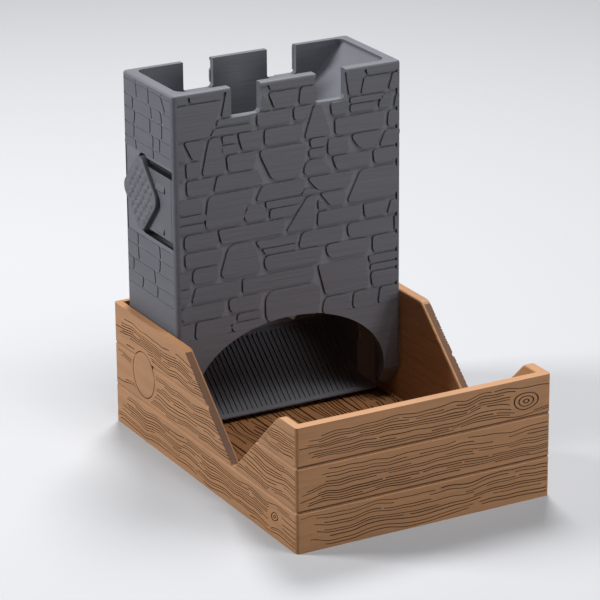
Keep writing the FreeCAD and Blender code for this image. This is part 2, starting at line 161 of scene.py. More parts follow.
def soft_lamp(name, azimuth, elevation, power):
    """A square lamp of so many watts that looks at the tower's foot, angles in degrees."""
    data = bpy.data.lights.new(name, "AREA")
    data.shape, data.size, data.energy = "SQUARE", LAMP_SIZE, power
    lamp = bpy.data.objects.new(name, data)
    bpy.context.collection.objects.link(lamp)
    towards = direction(azimuth, elevation)
    lamp.location = LAMP_AIM + towards * LAMP_DISTANCE
    lamp.rotation_euler = (-towards).to_track_quat("-Z", "Y").to_euler()


soft_lamp("left_lamp", -120, 30, 11.3)
soft_lamp("back_lamp", 150, 60, 11.0)
soft_lamp("low_lamp", 30, 8, 3.5)
soft_lamp("steep_lamp", 0, 72, 4.6)
soft_lamp("right_lamp", 30, 58, 2.4)

camera_data = bpy.data.cameras.new("camera")
camera_data.lens, camera_data.sensor_width = CAMERA_LENS, 36.0
camera_data.clip_start, camera_data.clip_end = 0.05, 20.0
camera = bpy.data.objects.new("camera", camera_data)
bpy.context.collection.objects.link(camera)
back = direction(CAMERA_AZIMUTH, CAMERA_ELEVATION)
level_right = Vector((0, 0, 1)).cross(back).normalized()
level_up = back.cross(level_right)
roll = math.radians(CAMERA_ROLL)
right = math.cos(roll) * level_right + math.sin(roll) * level_up
up = -math.sin(roll) * level_right + math.cos(roll) * level_up
camera.matrix_world = Matrix.Translation(CAMERA_TARGET + back * CAMERA_DISTANCE) @ Matrix(
    (right, up, back)
).transposed().to_4x4()
bpy.context.scene.camera = camera
bpy.context.scene.view_settings.view_transform = "Standard"


# Tray
# An open box with a deep V in each side wall, printed flat in brown PLA. Its planks
# and their grain are engraved by the print itself.

TRAY_X = 50.0 * MM
TRAY_FRONT = -68.75 * MM
TRAY_REAR = 68.75 * MM
WELL_X = 46.6 * MM
WELL_FRONT = -65.25 * MM
WELL_REAR = 66.85 * MM
TRAY_FLOOR = 3.5 * MM
TRAY_RIM = 45.0 * MM
CORNER_RADIUS = 1.2 * MM
TAN_PLA = "#b08057"
BROWN_PLA = "#8d6746"
FLOOR_PAINTED_SHADE_PLA = "#9c643b"
RECESS_PAINTED_SHADE_PLA = "#5c3b20"

# Real layer lines are 0.2 mm apart, too fine to show, so they are drawn 0.9 mm apart.
# They run LAYER_DRAWN_OUT times as far as they are thick, and the patches of tone are
# PATCH_FLATNESS times as long as they are high
PLA_ROUGHNESS = 0.55
PLA_SPECULAR = 0.4
LAYER_LINES = 0.9 * MM
LAYER_RELIEF = 0.15 * MM
LAYER_DRAWN_OUT = 20
PATCH_FLATNESS = 12
BROWN_PATCH = 30 * MM


def make_active(piece):
    deselect()
    piece.select_set(True)
    bpy.context.view_layer.objects.active = piece


def merged_copy(node, name):
    """A copy of a CAD node's loose triangles, joined into one closed shell."""
    piece = bpy.data.objects.new(name, frame["nodes"][node].data.copy())
    bpy.context.collection.objects.link(piece)
    make_active(piece)
    bpy.ops.object.mode_set(mode="EDIT")
    bpy.ops.mesh.select_all(action="SELECT")
    bpy.ops.mesh.remove_doubles(threshold=0.001 * MM)
    bpy.ops.mesh.dissolve_limited(angle_limit=math.radians(0.2))
    bpy.ops.object.mode_set(mode="OBJECT")
    bpy.ops.mesh.customdata_custom_splitnormals_clear()
    return piece


def cut(piece, cutter, solver="EXACT"):
    """Cuts one mesh out of another, and deletes the cutter."""
    make_active(piece)
    modifier = piece.modifiers.new("cut", "BOOLEAN")
    modifier.operation, modifier.solver, modifier.object = "DIFFERENCE", solver, cutter
    bpy.ops.object.modifier_apply(modifier=modifier.name)
    bpy.data.objects.remove(cutter)


def smooth(piece, angle=30):
    make_active(piece)
    bpy.ops.object.shade_smooth_by_angle(angle=math.radians(angle))


def printed_plastic(name, colour, dark, patch):
    """Printed PLA: satin, with faint level layer lines and slow changes of tone, each
    about one patch long and flattened along the layers."""
    material, shader = new_material(name, colour, PLA_ROUGHNESS, PLA_SPECULAR)
    place = add_node(material, "ShaderNodeTexCoord").outputs["Object"]
    flat = add_node(
        material,
        "ShaderNodeMapping",
        inputs={"Vector": place, "Scale": (1, 1, PATCH_FLATNESS)},
    )
    tone = add_node(
        material,
        "ShaderNodeTexNoise",
        inputs={"Vector": flat.outputs["Vector"], "Scale": 1 / patch, "Detail": 3.0},
    )
    mix = add_node(
        material,
        "ShaderNodeMix",
        {"data_type": "RGBA"},
        {0: tone.outputs["Fac"], 6: linear(dark), 7: linear(colour)},
    )
    material.node_tree.links.new(mix.outputs[2], shader.inputs["Base Color"])
    drawn_out = add_node(
        material,
        "ShaderNodeMapping",
        inputs={"Vector": place, "Scale": (1 / LAYER_DRAWN_OUT, 1 / LAYER_DRAWN_OUT, 1)},
    )
    lines = add_node(
        material,
        "ShaderNodeTexNoise",
        inputs={"Vector": drawn_out.outputs["Vector"], "Scale": 1 / LAYER_LINES, "Detail": 2.0},
    )
    bump = add_node(
        material,
        "ShaderNodeBump",
        inputs={"Strength": 0.6, "Distance": LAYER_RELIEF, "Height": lines.outputs["Fac"]},
    )
    material.node_tree.links.new(bump.outputs["Normal"], shader.inputs["Normal"])
    return material


def dress(piece, material):
    piece.data.materials.clear()
    piece.data.materials.append(material)


# The low and high edge of each plank of a wall, and of each plank of the floor, in mm
WALL_PLANKS = ((0.3, 14.4), (15.2, 30.6), (31.4, 45.0))
FLOOR_PLANKS = ((-46.2, -28.0), (-27.2, -9.6), (-8.8, 8.8), (9.6, 27.2), (28.0, 46.2))

# Each lane of a plank holds a row of slits. Lengths and gaps are in mm, lane steps in
# lanes, and walls are drawn GRAIN_APART from each other so that their waves differ
GRAIN_WIDTH = 0.36 * MM
GRAIN_NARROWEST = 0.65
GRAIN_DEPTH = 0.45 * MM
GRAIN_STEP = 1.6 * MM
GRAIN_LANE = 0.92 * MM
GRAIN_SWAY = 3.6 * MM
GRAIN_WAVE = 15 * MM
GRAIN_EDGE = 0.9 * MM
GRAIN_APART = 0.5
GRAIN_SHORTEST = 6 * MM
GRAIN_LATEST_START = 0.12
GRAIN_LENGTHS = (14, 70)
GRAIN_GAPS = (1.2, 2.5, 5.0, 14.0)
LANE_STEPS = (0.85, 0.95, 1.0, 1.3, 1.8)
FLOOR_COARSENESS = 1.6

# Each knot: its place along and across the wall, its reach and its rings. The first of
# the side's is the hinge pin's head, which the grain only stops at
KNOT_STRETCH = 1.5
KNOT_PUSH = 0.35
KNOT_CORE = 0.2
KNOT_RING_STEP = 0.28
FRONT_KNOTS = ((90 * MM, 38.0 * MM, 4.5 * MM, 3),)
SIDE_KNOTS = ((23.4 * MM, 25.7 * MM, 10.2 * MM, 0), (122 * MM, 8.0 * MM, 3.5 * MM, 2))
JOINT_HEIGHTS = (14.8 * MM, 31.0 * MM)
JOINT_HALF_WIDTH = 0.75 * MM
JOINT_DEPTH = 0.6 * MM
grain_waves = bpy.data.textures.new("grain_waves", "CLOUDS")
grain_waves.noise_scale = GRAIN_WAVE
grain_waves.noise_depth = 1


def grain_slits(place, planks, length, knots, coarse, axes, origin):
    """Wavy slits across one flat wall, as closed bars that reach GRAIN_DEPTH into it.
    A plank is (low, high) in mm; coarse spreads and widens its slits; axes are the
    directions along the grain, across it and out."""
    draw = random.Random(place)
    shift = place * GRAIN_APART
    bars = bpy.data.objects.new("grain", bpy.data.meshes.new("grain"))
    bpy.context.collection.objects.link(bars)
    make_active(bars)
    bpy.ops.object.mode_set(mode="EDIT")
    for low, high in planks:
        lane = low * MM + GRAIN_EDGE + GRAIN_SWAY / 4
        while lane < high * MM - GRAIN_EDGE - GRAIN_SWAY / 4:
            start = GRAIN_EDGE + draw.random() * GRAIN_LATEST_START * length
            while start < length - GRAIN_SHORTEST:
                end = min(start + draw.uniform(*GRAIN_LENGTHS) * MM, length - GRAIN_EDGE)
                for along, across, reach, rings in knots:
                    eye = math.sqrt(max(reach**2 - (lane - across) ** 2, 0))
                    eye *= KNOT_STRETCH if rings else 1
                    near, far = along - eye, along + eye
                    if abs(lane - across) < reach and near < end and start < far:
                        before = start < near - GRAIN_SHORTEST
                        start, end = (start, near) if before else (far, end)
                if end - start < GRAIN_SHORTEST:
                    start = max(start, end) + MM
                    continue
                middle = (shift + (start + end) / 2, lane, 0)
                bpy.ops.mesh.primitive_grid_add(
                    size=1,
                    x_subdivisions=max(4, round((end - start) / GRAIN_STEP)),
                    y_subdivisions=1,
                    location=middle,
                )
                wide = GRAIN_WIDTH * coarse * draw.uniform(GRAIN_NARROWEST, 1.0)
                bpy.ops.transform.resize(value=(end - start, wide, 1), center_override=middle)
                start = end + draw.choice(GRAIN_GAPS) * MM
            lane += GRAIN_LANE * coarse * draw.choice(LANE_STEPS)
    bpy.ops.object.mode_set(mode="OBJECT")
    for along, across, reach, rings in knots:
        if not rings:
            continue
        for point in bars.data.vertices:
            off_x, off_y = (point.co.x - shift - along) / KNOT_STRETCH, point.co.y - across
            push = reach * math.exp(-((off_x / reach) ** 2) - abs(off_y) / reach) * KNOT_PUSH
            point.co.y += math.copysign(push, off_y)
    bpy.ops.object.mode_set(mode="EDIT")
    for along, across, reach, rings in knots:
        for ring in range(rings):
            bpy.ops.mesh.select_all(action="DESELECT")
            middle = (shift + along, across, 0)
            radius = reach * (KNOT_CORE + KNOT_RING_STEP * ring)
            bpy.ops.mesh.primitive_circle_add(vertices=24, radius=radius, location=middle)
            bpy.ops.mesh.extrude_edges_move()
            share = 1 - GRAIN_WIDTH / radius
            bpy.ops.transform.resize(value=(share, share, 1), center_override=middle)
            bpy.ops.mesh.select_linked()
            bpy.ops.transform.resize(value=(KNOT_STRETCH, 1, 1), center_override=middle)
    bpy.ops.object.mode_set(mode="OBJECT")
    sway = bars.modifiers.new("sway", "DISPLACE")
    sway.texture, sway.texture_coords, sway.direction = grain_waves, "LOCAL", "Y"
    sway.strength, sway.mid_level = GRAIN_SWAY, 0.5
    bpy.ops.object.modifier_apply(modifier=sway.name)
    thick = bars.modifiers.new("thickness", "SOLIDIFY")
    thick.thickness, thick.offset = 2 * GRAIN_DEPTH, 0
    bpy.ops.object.modifier_apply(modifier=thick.name)
    turn = Matrix(axes).transposed().to_4x4()
    bars.data.transform(
        Matrix.Translation(origin) @ turn @ Matrix.Translation((-shift, 0, 0))
    )
    return bars


# The tray floor's last layer, pressed flat by the nozzle: the same PLA, with painted
# shade that makes it redder and deeper in tone than the walls
floor_painted_shade_pla = printed_plastic("brown_pla_floor_painted_shade", FLOOR_PAINTED_SHADE_PLA, BROWN_PLA, BROWN_PATCH)

# The same PLA down in the slits, where little light gets in, painted dark brown as
# painted shade: each reads as a dark line
recess_painted_shade_pla = printed_plastic("brown_pla_painted_recess_shade", RECESS_PAINTED_SHADE_PLA, RECESS_PAINTED_SHADE_PLA, BROWN_PATCH)

# Wood-coloured PLA as it comes off the printer: a satin tan that drifts to a browner
# tone every 30 mm or so, so that the planks look like wood from afar
brown_pla = printed_plastic("brown_pla_printed", TAN_PLA, BROWN_PLA, BROWN_PATCH)
tray = merged_copy("tray_shell", "planked_tray")
x, y, z = Vector((1, 0, 0)), Vector((0, 1, 0)), Vector((0, 0, 1))
width, length = 2 * TRAY_X, TRAY_REAR - TRAY_FRONT
walls = (
    (WALL_PLANKS, width, FRONT_KNOTS, 1, (x, z, -y), (-TRAY_X, TRAY_FRONT, 0)),
    (WALL_PLANKS, length, SIDE_KNOTS, 1, (-y, z, -x), (-TRAY_X, TRAY_REAR, 0)),
    (WALL_PLANKS, length, (SIDE_KNOTS[1],), 1, (y, z, x), (TRAY_X, TRAY_FRONT, 0)),
    (WALL_PLANKS, width, FRONT_KNOTS, 1, (-x, z, y), (TRAY_X, TRAY_REAR, 0)),
    (
        FLOOR_PLANKS, WELL_REAR - WELL_FRONT, (), FLOOR_COARSENESS,
        (y, -x, z), (0, WELL_FRONT, TRAY_FLOOR),
    ),
)
slits = [grain_slits(place, *wall) for place, wall in enumerate(walls)]
make_active(slits[0])
for slit in slits[1:]:
    slit.select_set(True)
bpy.ops.object.join()
cut(tray, slits[0], "MANIFOLD")
for height in JOINT_HEIGHTS:
    for axis, place, reach in (
        (x, (0, TRAY_FRONT, height), width),
        (x, (0, TRAY_REAR, height), width),
        (y, (-TRAY_X, 0, height), length),
        (y, (TRAY_X, 0, height), length),
    ):
        deselect()
        bpy.ops.mesh.primitive_cylinder_add(vertices=4, radius=1, depth=reach + 4 * MM)
        bar = bpy.context.object
        axes = Matrix((z.cross(axis) * JOINT_DEPTH, z * JOINT_HALF_WIDTH, axis))
        bar.data.transform(Matrix.Translation(place) @ axes.transposed().to_4x4())
        cut(tray, bar, "MANIFOLD")
smooth(tray, 20)
dress(tray, brown_pla)
tray.data.materials.append(floor_painted_shade_pla)
tray.data.materials.append(recess_painted_shade_pla)

# The floor's face takes its painted shade, and each slit's flanks and each joint's upper
# flank take the painted recess shade, all picked by their place
skin = 0.02 * MM
for face in tray.data.polygons:
    x, y, z = face.center
    inside, other = sorted((TRAY_X - abs(x), TRAY_REAR - abs(y)))
    from_joint = min((z - height for height in JOINT_HEIGHTS), key=abs)
    if 2 * MM < z < TRAY_FLOOR + skin and abs(x) < WELL_X and abs(y) < WELL_REAR:
        face.material_index = 1 if z > TRAY_FLOOR - skin else 2
    elif skin < inside < JOINT_DEPTH and other > CORNER_RADIUS and skin < z < TRAY_RIM:
        lower_flank = -JOINT_HALF_WIDTH < from_joint < 0
        face.material_index = 0 if lower_flank else 2
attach(tray, "tray")
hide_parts("tray_shell")


# Hinge pins
# Two stepped pins, pressed in from outside through the tray's walls into the tower's
# cheeks. Only their flush round heads show, each in a thin open ring.

for side in ("left", "right"):
    pin = frame["nodes"]["hinge_pin_" + side]
    dress(pin, brown_pla)


# Tower walls
# A hollow square shaft printed upright in dark grey PLA, with battlements, an arch for
# the dice and flat rubble stones whose sunk joints are part of the print.

GREY_PLA = "#595a61"
DARK_GREY_PLA = "#4f5057"
JOINT_PAINTED_HIGHLIGHT_PLA = "#686a71"
SLOT_PAINTED_SHADE_PLA = "#17181a"
GREY_PATCH = 40 * MM
TOWER_X = 45.8 * MM
TOWER_FRONT = 25.9 * MM
TOWER_REAR = 65.4 * MM
FRONT_JOINT_DEPTH = 0.75 * MM
SIDE_JOINT_DEPTH = 0.25 * MM
SIDE_WALL = 4.0 * MM
LATCH_OPENING = (77.0 * MM, 107.0 * MM)
STONE_PROUD = 0.03 * MM
STONE_SEAT = 0.25 * MM
STONE_WANDER = 0.1 * MM
FRONT_STONE_GROWTH = 0.12
SIDE_STONE_GROWTH = 0.1
FRONT_STONE_EDGE = 0.28 * MM
SIDE_STONE_EDGE = 0.16 * MM
SIDE_START = 94.65
FRONT_FIELD = (-43.8 * MM, 44.3 * MM, 43.4 * MM, 133.0 * MM)
SIDE_FIELD = (28.0 * MM, 63.9 * MM, 55.6 * MM, 133.0 * MM)
ARCH_HALF_WIDTH = 38.8 * MM
ARCH_SPRING = 20.0 * MM
ARCH_RISE = 25.3 * MM

# Each stone as read off: its top and bottom, then the left and right ends of its
# top edge, those of its bottom edge, and its corners' radius, in mm. A side stone's ends
# are measured from the tray's front, with the tower's front at SIDE_START
FRONT_STONES = (
    (133.5, 131, -44.2, -40, -44.2, -39.8, 1), (133.5, 131, -38.9, -25.8, -38.7, -26.5, 1),
    (133.5, 131, -8, 10.5, -6.9, 10.5, 1), (133.5, 124.3, 23.5, 30.5, 24.7, 28.7, 1.2),
    (133.5, 131, 31.6, 44.3, 32, 44.3, 1), (130.1, 117.9, -44.2, -26.7, -44.2, -31.5, 1.4),
    (133.4, 124.3, -24.4, -23, -26.5, -23, 0.6), (129.5, 124.3, -10.9, -10.4, -10.9, -6.9, 0.6),
    (129.9, 124.3, -7.8, 3.8, -5.5, 2.4, 1), (130.1, 124.3, 5.1, 11.1, 4.3, 11.1, 1.2),
    (130.1, 124.3, 30.9, 41.6, 29.5, 39.5, 1), (130.1, 124.3, 42.7, 44.3, 40.9, 44.3, 0.8),
    (123.2, 121.2, -27.8, -15.1, -28.7, -15.5, 0.7),
    (120, 117.9, -29.5, -14.6, -30.9, -14.9, 0.7), (123.2, 118.3, -12.5, 0.5, -12.5, 0.8, 1.7),
    (123.2, 118.3, 2, 9.6, 2.4, 6.7, 1.6), (122.9, 111.2, 10.5, 12.7, 6.4, 16.9, 1.4),
    (122.6, 118.1, 17.1, 24, 17.6, 23.5, 1.2), (123.2, 121.4, 25.1, 38.5, 25.1, 38.1, 0.7),
    (120.6, 118.1, 25.1, 35.4, 25.1, 34.9, 1), (122.8, 117.9, 38.2, 42.7, 36.4, 40.9, 1.8),
    (121.4, 117.5, 44, 44.3, 43.1, 44.3, 0.5), (116.5, 110.6, -44, -43.1, -44, -40.7, 0.6),
    (116.8, 110.3, -41.3, -33.5, -38, -35.1, 1), (116.9, 103.8, -31.5, -27.3, -34.6, -25.5, 1.6),
    (116.8, 114.3, -26.4, -21.1, -26.2, -21.3, 0.8),
    (113.4, 110.6, -26.7, -20.2, -26.5, -20.2, 0.8), (117, 110.8, -20.2, -10.7, -18.5, -11, 1.2),
    (116.8, 111.2, -9.6, 5.5, -9.6, 4.9, 1.4), (116.5, 110.6, 18.7, 38.7, 19.1, 38.5, 1.4),
    (116.3, 110.5, 40.9, 44.3, 40.4, 44.3, 1.4), (108.8, 103.8, -44.2, -41.8, -44.2, -41.5, 1),
    (109.2, 103.8, -40.7, -35.6, -40.5, -35.6, 0.8),
    (109.5, 103.8, -24.9, -13.3, -24.2, -14.2, 1.4), (109.6, 97.7, -12.2, 7.6, -6.7, 3.8, 2.4),
    (110.5, 107.4, 8.7, 15.5, 8.9, 15.1, 1.2), (106.6, 103.8, 8.2, 14.7, 8.4, 14.7, 1),
    (109.4, 103.6, 16, 23.3, 16, 24.2, 1.2), (109.5, 103.8, 25.1, 38.1, 29.1, 35.6, 2.2),
    (109, 103.6, 39.6, 45.5, 37.1, 44.3, 1.2), (102.6, 97.3, -40.7, -29.5, -40.4, -31.6, 1.2),
    (102.6, 97.4, -28.5, -13.1, -30, -10.4, 1), (102.8, 97.5, 7.1, 12.5, 5.6, 18, 2.4),
    (102.5, 97.5, 17.6, 32.9, 19.6, 32.9, 1.2), (102.6, 97.4, 34.5, 44.3, 34.9, 44.3, 1.6),
    (95.9, 90.6, -44, -35.3, -44, -34.4, 1.8), (95.9, 83.9, -32.2, -14, -33.8, -19.5, 2.2),
    (96.3, 91, -10.7, 6.3, -13.6, 5.4, 1.6), (96.1, 90.8, 7.3, 26.3, 12.2, 23.6, 1.8),
    (92.3, 90.5, 6.4, 8.5, 5.1, 13.6, 0.6), (95.7, 84.5, 29.3, 44.3, 23.6, 44.3, 1.8),
    (89.7, 87.4, -44, -33.5, -44, -33.6, 0.8), (86.3, 83.9, -44, -34.2, -44, -34, 0.8),
    (89.9, 84.1, -17.6, -11.8, -18.2, -8.5, 2.2), (89.9, 87.7, -9.5, 6, -9.1, 3.6, 0.8),
    (86.9, 83.7, -7.5, 4.5, -8, 1.5, 1), (89.2, 77.6, 7.5, 10.5, -1.3, 9.6, 1.2),
    (87, 83.9, 11.8, 12.5, 12, 15.8, 0.6), (89.5, 84.5, 12.7, 22.7, 16.9, 22.2, 1),
    (82.6, 77.4, -41.9, -30.4, -41.9, -28.5, 1.6), (82.6, 77.7, -28.5, -2, -27.3, -2.9, 1),
    (82.6, 77.7, 11.8, 29.1, 11.5, 28.9, 1), (82.6, 77.7, 30.5, 40.2, 31.1, 39.3, 1),
    (82.3, 77.5, 42, 44.3, 40.5, 44.3, 0.8), (75.9, 70.8, -41.9, -27.1, -41.6, -28.4, 1.4),
    (76.4, 64.5, -24.4, -14.9, -28.2, -11.5, 2.8), (75.9, 73.3, -13.6, 3.1, -12, 2.7, 1),
    (72.4, 70.4, -11.1, 2.7, -9.3, 2.2, 0.8), (76.1, 70.6, 5.3, 21.5, 3.6, 21.1, 1.6),
    (76.2, 70.8, 23.6, 42.5, 24.4, 42, 2), (75.9, 70.8, 43.6, 44.3, 43.5, 44.3, 0.5),
    (69.2, 63.7, -44.2, -40.2, -44.2, -40, 1.2), (69.7, 64.5, -38.7, -29.1, -38.9, -29.3, 1.8),
    (69.7, 64.3, -10.4, 12.9, -9.8, 12.4, 2.2), (69.7, 64.5, 14.5, 32.7, 16.2, 32.4, 2.2),
    (69.7, 63.7, 34.2, 44.3, 34.5, 44.3, 1.4), (62.5, 57.5, -44.2, -39.5, -44.2, -41.8, 1),
    (62.6, 57.4, -37.8, -20.5, -39.5, -20.7, 1), (62.6, 57.7, -19.1, 9.6, -19.1, 9.3, 1),
    (62.5, 50.8, 11.5, 31.3, 14.7, 32.2, 1.2), (62.4, 59.9, 32.5, 44.3, 33.3, 44.3, 0.8),
    (58.8, 57, 33.6, 44.3, 33.3, 44.3, 0.8), (55.9, 50.8, -43.8, -26.5, -43.6, -27.5, 1.8),
    (56.1, 51, -24.9, -11.8, -24.2, -12.5, 1.8), (56.1, 43.7, -10, 12.2, -9.8, 11.8, 4),
    (55.9, 50.5, 33.5, 44.3, 34.2, 44.3, 1.4), (49.4, 43.5, -44.2, -39.5, -44.2, -39.8, 1.2),
    (49.7, 43.5, -37.8, -22.2, -38.4, -24.9, 1.4), (49.8, 47.5, -21.1, -11.8, -21.6, -12, 0.8),
    (46.5, 43.5, -24.5, -10.4, -22.7, -9.3, 0.8), (49.5, 43.5, 14.2, 24.5, 13.3, 24.9, 2),
    (49.5, 43.5, 26.4, 36.4, 26, 35.5, 1.6), (49.5, 43.5, 37.6, 44.3, 36.7, 44.3, 1),
)
SIDE_STONES = (
    (133.5, 132.5, 96.2, 102.5, 96.2, 102.5, 0.7), (133.5, 132.5, 103.2, 113, 103.2, 112.8, 0.7),
    (133.5, 132.5, 113.5, 123, 113.5, 123, 0.7), (133.5, 132.5, 123.8, 132.8, 123.8, 132.8, 0.7),
    (131.8, 127, 96.2, 103, 96.2, 100, 0.7), (131.8, 127, 104, 113, 101, 113, 0.7),
    (131.8, 127, 113.8, 122.8, 113.8, 122.5, 0.7), (131.8, 127, 123.5, 132.8, 123.2, 132.8, 0.7),
    (126.2, 122.2, 96.2, 103.2, 96.2, 102.2, 0.7),
    (126.2, 122.2, 104.5, 111.2, 103.5, 110.8, 0.7),
    (126.2, 122.2, 112, 125.5, 111.5, 125.8, 0.7),
    (126.2, 122.2, 126.5, 132.8, 126.5, 132.8, 0.7),
    (121.5, 116.6, 96.2, 102.2, 96.2, 102.8, 0.7), (121.5, 116.6, 103.5, 111.8, 103.8, 112, 0.7),
    (121.5, 116.6, 112.8, 123.8, 113, 124.8, 0.7),
    (121.5, 116.6, 124.8, 132.8, 125.8, 132.8, 0.7),
    (115.9, 111.5, 96.2, 104.5, 96.2, 104.8, 0.7), (115.9, 111.5, 105.5, 109.8, 105.5, 110, 0.7),
    (115.9, 111.5, 110.8, 124.8, 110.8, 125.2, 0.7),
    (115.9, 111.5, 125.8, 132.8, 126, 132.8, 0.7), (110.8, 107.6, 96.2, 109.8, 96.2, 109.8, 0.7),
    (110.8, 107.6, 110.8, 124, 110.8, 123.5, 0.7),
    (110.8, 107.6, 124.8, 132.8, 124.2, 132.8, 0.7), (75.8, 71.5, 96.2, 106.5, 96.2, 106, 0.7),
    (75.8, 71.5, 107.5, 123.8, 107, 124, 0.7), (75.8, 71.5, 124.8, 132.8, 124.8, 132.8, 0.7),
    (70.8, 66.2, 96.2, 106.2, 96.2, 106.8, 0.7), (70.8, 66.2, 107.2, 124, 107.8, 123.2, 0.7),
    (70.8, 66.2, 124.8, 132.8, 124.2, 132.8, 0.7), (65.4, 61, 96.2, 111, 96.2, 110.2, 0.7),
    (65.4, 61, 112, 127.5, 111.2, 128, 0.7), (65.4, 61, 128.5, 132.8, 129, 132.8, 0.7),
    (60.2, 56, 96.2, 108.5, 96.2, 109, 0.7), (60.2, 56, 109.5, 120, 110, 121, 0.7),
    (60.2, 56, 121, 132.8, 122, 132.8, 0.7),
)


def box_cutter(low, high):
    """A plain box between two corners."""
    deselect()
    bpy.ops.mesh.primitive_cube_add(size=1)
    cutter = bpy.context.object
    size = [h - l for l, h in zip(low, high)]
    middle = [(h + l) / 2 for l, h in zip(low, high)]
    cutter.data.transform(Matrix.Translation(middle) @ Matrix.Diagonal((*size, 1)))
    return cutter


def lay_stones(name, stones, depth, grow, chamfer):
    """Flat stones in the plane y = 0, facing -Y, as closed slabs behind it. Each is
    grown by so many mm on every side, and its outline wanders a little."""
    mesh = bpy.data.meshes.new(name)
    wall = bpy.data.objects.new(name, mesh)
    bpy.context.collection.objects.link(wall)
    make_active(wall)
    bpy.ops.object.mode_set(mode="EDIT")
    for top, bottom, left, right, low_left, low_right, radius in stones:
        top, bottom = top + grow, bottom - grow
        left, low_left = left - grow, low_left - grow
        right, low_right = right + grow, low_right + grow
        bpy.ops.mesh.select_all(action="DESELECT")
        low_x, high_x = min(left, low_left) * MM, max(right, low_right) * MM
        bpy.ops.mesh.primitive_plane_add(
            size=1,
            location=((low_x + high_x) / 2, 0, (top + bottom) / 2 * MM),
            rotation=(math.pi / 2, 0, 0),
        )
        bpy.ops.transform.resize(
            value=(high_x - low_x, 1, (top - bottom) * MM),
            center_override=((low_x + high_x) / 2, 0, (top + bottom) / 2 * MM),
        )
        for upper, lower, outward in ((left, low_left, -1), (right, low_right, 1)):
            if upper != lower:
                lean = Vector(((upper - lower), 0, top - bottom))
                normal = Vector((lean.z, 0, -lean.x)).normalized() * outward
                bpy.ops.mesh.bisect(
                    plane_co=(lower * MM, 0, bottom * MM), plane_no=normal, clear_outer=True
                )
                bpy.ops.mesh.select_linked()
        bpy.ops.mesh.bevel(
            offset=radius * MM, affect="VERTICES", segments=3, clamp_overlap=True
        )
    bpy.ops.mesh.select_all(action="SELECT")
    bpy.ops.mesh.remove_doubles(threshold=0.02 * MM)
    bpy.ops.mesh.subdivide(number_cuts=2)
    bpy.ops.transform.vertex_random(offset=STONE_WANDER, seed=4)
    bpy.ops.transform.resize(value=(1, 0, 1), center_override=(0, 0, 0))
    bpy.ops.object.mode_set(mode="OBJECT")
    thick = wall.modifiers.new("thickness", "SOLIDIFY")
    thick.thickness, thick.offset = depth + STONE_SEAT, -1
    bpy.ops.object.modifier_apply(modifier=thick.name)
    bpy.ops.object.mode_set(mode="EDIT")
    bpy.ops.mesh.select_all(action="SELECT")
    bpy.ops.mesh.normals_make_consistent(inside=False)
    bpy.ops.object.mode_set(mode="OBJECT")
    worn = wall.modifiers.new("worn_edges", "BEVEL")
    worn.width, worn.segments, worn.limit_method = chamfer, 1, "ANGLE"
    worn.angle_limit = math.radians(60)
    worn.use_clamp_overlap = True
    bpy.ops.object.modifier_apply(modifier=worn.name)
    return wall


def set_wall(wall, turn, place):
    """Turns a laid wall about the vertical and brings it to its place, in its mesh."""
    wall.data.transform(Matrix.Translation(place) @ Matrix.Rotation(turn, 4, "Z"))


# Dark grey PLA as it comes off the printer: a cool satin grey, a little darker here and
# there over some 40 mm
grey_pla = printed_plastic("dark_grey_pla_printed", GREY_PLA, DARK_GREY_PLA, GREY_PATCH)

# The same PLA at the bottom of the joints, painted paler than the stones: a painted
# highlight for the light lines the joints show
joint_painted_highlight_pla = printed_plastic("dark_grey_pla_painted_joint_highlight", JOINT_PAINTED_HIGHLIGHT_PLA, GREY_PLA, GREY_PATCH)

# The same PLA on the cut flanks of the latch slots, painted nearly black: painted shade
# for the deep shadow in the slots
slot_painted_shade_pla = printed_plastic("dark_grey_pla_painted_slot_shade", SLOT_PAINTED_SHADE_PLA, SLOT_PAINTED_SHADE_PLA, GREY_PATCH)
tower = merged_copy("tower_shell", "tower_walls")
x0, x1, z0, z1 = FRONT_FIELD
cut(tower, box_cutter((x0, TOWER_FRONT - MM, z0), (x1, TOWER_FRONT + FRONT_JOINT_DEPTH, z1)))
cut(tower, box_cutter((-x1, TOWER_REAR - FRONT_JOINT_DEPTH, z0), (-x0, TOWER_REAR + MM, z1)))
y0, y1, z0, z1 = SIDE_FIELD
for outward in (-1, 1):
    ends = sorted((outward * (TOWER_X - SIDE_JOINT_DEPTH), outward * (TOWER_X + MM)))
    cut(tower, box_cutter((ends[0], y0, z0), (ends[1], y1, z1)))

# A thin skin closes each hinge bore on the inside, so that the pins' ends don't show
BORE_END_X = 37.0 * MM
BORE_END_THICKNESS = 0.3 * MM
BORE_MIDDLE = (45.35 * MM, 25.7 * MM)
BORE_END_RADIUS = 4.15 * MM
skins = []
for side in (-1, 1):
    deselect()
    bpy.ops.mesh.primitive_cylinder_add(
        vertices=48, radius=BORE_END_RADIUS, depth=BORE_END_THICKNESS
    )
    skins.append(bpy.context.object)
    middle = (side * (BORE_END_X + BORE_END_THICKNESS / 2), *BORE_MIDDLE)
    skins[-1].data.transform(
        Matrix.Translation(middle) @ Matrix.Rotation(math.pi / 2, 4, "Y")
    )
make_active(tower)
for bore_end in skins:
    bore_end.select_set(True)
bpy.ops.object.join()

smooth(tower)
dress(tower, grey_pla)
tower.data.materials.append(joint_painted_highlight_pla)
tower.data.materials.append(slot_painted_shade_pla)
skin = 0.01 * MM
